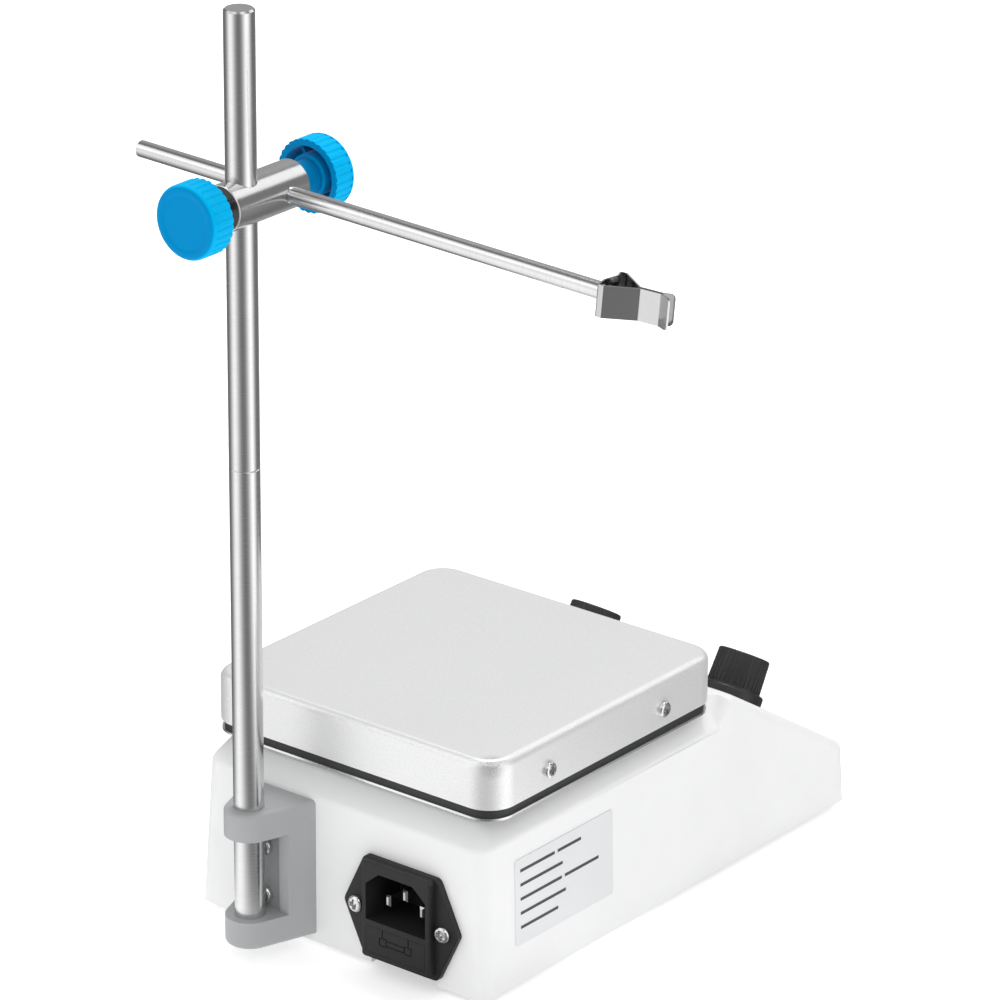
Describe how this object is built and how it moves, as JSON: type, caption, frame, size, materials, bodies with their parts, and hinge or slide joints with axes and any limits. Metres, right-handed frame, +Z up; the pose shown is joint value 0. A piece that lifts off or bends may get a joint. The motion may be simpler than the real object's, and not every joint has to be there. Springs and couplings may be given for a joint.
{
  "type": "magnetic_stirrer",
  "caption": "Heating magnetic stirrer with a square plate, sloping control panel and a back support rod carrying a clamp, cross arm and spring clip.",
  "frame": {"origin": "the stirring axis where it meets the bench, under the rubber feet", "axes": "+Z up along the stirring axis, -Y towards the control panel, +X across towards the side away from the rating label"},
  "size_m": [0.2122, 0.2426, 0.3224],
  "materials": {
    "housing_white": "satin moulded white shell",
    "bracket_grey": "smooth grey paint",
    "plate_silver": "fine blasted silver-white",
    "tray_black": "heat-proof black",
    "shield_steel": "bright sheet",
    "rod_steel": "drawn stainless bar",
    "screw_chrome": "plated",
    "spring_steel": "dark polished spring strip",
    "knob_black": "fine satin black",
    "inlet_black": "moulded black",
    "lock_blue": "bright blue",
    "rubber_black": "soft black",
    "zinc_sheet": "zinc-plated sheet",
    "brass": "turned brass",
    "magnet_nickel": "nickel plating",
    "board_green": "lacquered circuit board",
    "capacitor_blue": "shrink sleeve",
    "terminal_green": "moulded terminal block",
    "label_grey": "printed film",
    "panel_film": "light grey panel film",
    "lamp_lens": "tinted lens",
    "pointer_white": "white inlay",
    "heater_mica": "mica heater",
    "insulation_white": "pressed fibre pad",
    "fuse_glass": "glass fuse with metal caps",
    "pad_nylon": "nylon pad"
  },
  "bodies": {
    "base": {"housing_shell": "housing_white", "base_plate": "zinc_sheet", "rubber_feet": "rubber_black", "base_screws": "screw_chrome", "panel_overlay": "panel_film", "indicator_lamps": "lamp_lens", "potentiometers": "zinc_sheet", "potentiometer_nuts": "brass", "hot_plate": "plate_silver", "plate_tray": "tray_black", "heat_shield": "shield_steel", "tray_screws": "screw_chrome", "plate_screws": "screw_chrome", "heater_element": "heater_mica", "insulation_pad": "insulation_white", "heater_press_plate": "zinc_sheet", "heater_screws": "screw_chrome", "thermal_cutout": "zinc_sheet", "motor_body": "zinc_sheet", "motor_bracket": "zinc_sheet", "motor_pillars": "brass", "motor_screws": "screw_chrome", "control_board": "board_green", "board_pillars": "brass", "board_screws": "screw_chrome", "heat_sink": "plate_silver", "capacitors": "capacitor_blue", "terminal_block": "terminal_green", "inlet_body": "inlet_black", "inlet_pins": "magnet_nickel", "inlet_screws": "screw_chrome", "inlet_nuts": "screw_chrome", "rating_label": "label_grey", "rod_bracket": "bracket_grey", "bracket_screws": "screw_chrome", "bracket_nuts": "screw_chrome"},
    "heat_knob": {"heat_knob": "knob_black", "heat_knob_pointer": "pointer_white", "heat_pot_shaft": "brass"},
    "speed_knob": {"speed_knob": "knob_black", "speed_knob_pointer": "pointer_white", "speed_pot_shaft": "brass"},
    "rotor": {"motor_shaft": "rod_steel", "magnet_carrier": "tray_black", "drive_magnets": "magnet_nickel"},
    "support_rod": {"lower_rod": "rod_steel", "upper_rod": "rod_steel", "joining_stud": "rod_steel"},
    "clamp": {"clamp_block": "rod_steel"},
    "rod_pad": {"rod_lock_pad": "pad_nylon"},
    "rod_lock": {"rod_lock_screw": "screw_chrome", "rod_lock_knob": "lock_blue"},
    "arm_pad": {"arm_lock_pad": "pad_nylon"},
    "arm_lock": {"arm_lock_screw": "screw_chrome", "arm_lock_knob": "lock_blue"},
    "arm": {"cross_arm": "rod_steel", "clip_screw": "screw_chrome"},
    "clip": {"spring_clip": "spring_steel"},
    "fuse_tray": {"fuse_drawer": "inlet_black", "mains_fuse": "fuse_glass"}
  },
  "joints": [
    {"name": "heat_knob_turn", "type": "hinge", "parent": "base", "child": "heat_knob", "pos_m": [-0.032, -0.1093, 0.05094], "axis": [0, -0.5299, 0.848], "range_deg": [-280, 0]},
    {"name": "speed_knob_turn", "type": "hinge", "parent": "base", "child": "speed_knob", "pos_m": [0.032, -0.1093, 0.05094], "axis": [0, -0.5299, 0.848], "range_deg": [-280, 0]},
    {"name": "rotor_spin", "type": "hinge", "parent": "base", "child": "rotor", "pos_m": [0, 0, 0.06], "axis": [0, 0, 1], "continuous": true},
    {"name": "rod_turn", "type": "hinge", "parent": "base", "child": "support_rod", "pos_m": [0.0245, 0.081, 0.1], "axis": [0, 0, 1], "continuous": true},
    {"name": "clamp_slide", "type": "slide", "parent": "support_rod", "child": "clamp", "axis": [0, 0, 1], "range_m": [-0.155, 0.05]},
    {"name": "rod_pad_travel", "type": "slide", "parent": "clamp", "child": "rod_pad", "axis": [0, 1, 0], "range_m": [0, 0.0015]},
    {"name": "rod_lock_turn", "type": "hinge", "parent": "rod_pad", "child": "rod_lock", "pos_m": [0.0245, 0.1, 0.2598], "axis": [0, 1, 0], "range_deg": [0, 675]},
    {"name": "arm_pad_travel", "type": "slide", "parent": "clamp", "child": "arm_pad", "axis": [0, -1, 0], "range_m": [0, 0.0015]},
    {"name": "arm_lock_turn", "type": "hinge", "parent": "arm_pad", "child": "arm_lock", "pos_m": [0.0245, 0.05, 0.2598], "axis": [0, -1, 0], "range_deg": [0, 675]},
    {"name": "arm_slide", "type": "slide", "parent": "clamp", "child": "arm", "axis": [0.9996, 0, 0.0291], "range_m": [-0.045, 0.116]},
    {"name": "clip_turn", "type": "hinge", "parent": "arm", "child": "clip", "pos_m": [-0.10734, 0.0657, 0.25596], "axis": [0.9996, 0, 0.0291], "continuous": true},
    {"name": "fuse_tray_pull", "type": "slide", "parent": "base", "child": "fuse_tray", "axis": [0, 1, 0], "range_m": [0, 0.018]}
  ],
  "couplings": [
    {"joint": "rod_pad_travel", "follows": "rod_lock_turn", "m_per_rad": 0.00012732},
    {"joint": "arm_pad_travel", "follows": "arm_lock_turn", "m_per_rad": 0.00012732}
  ]
}
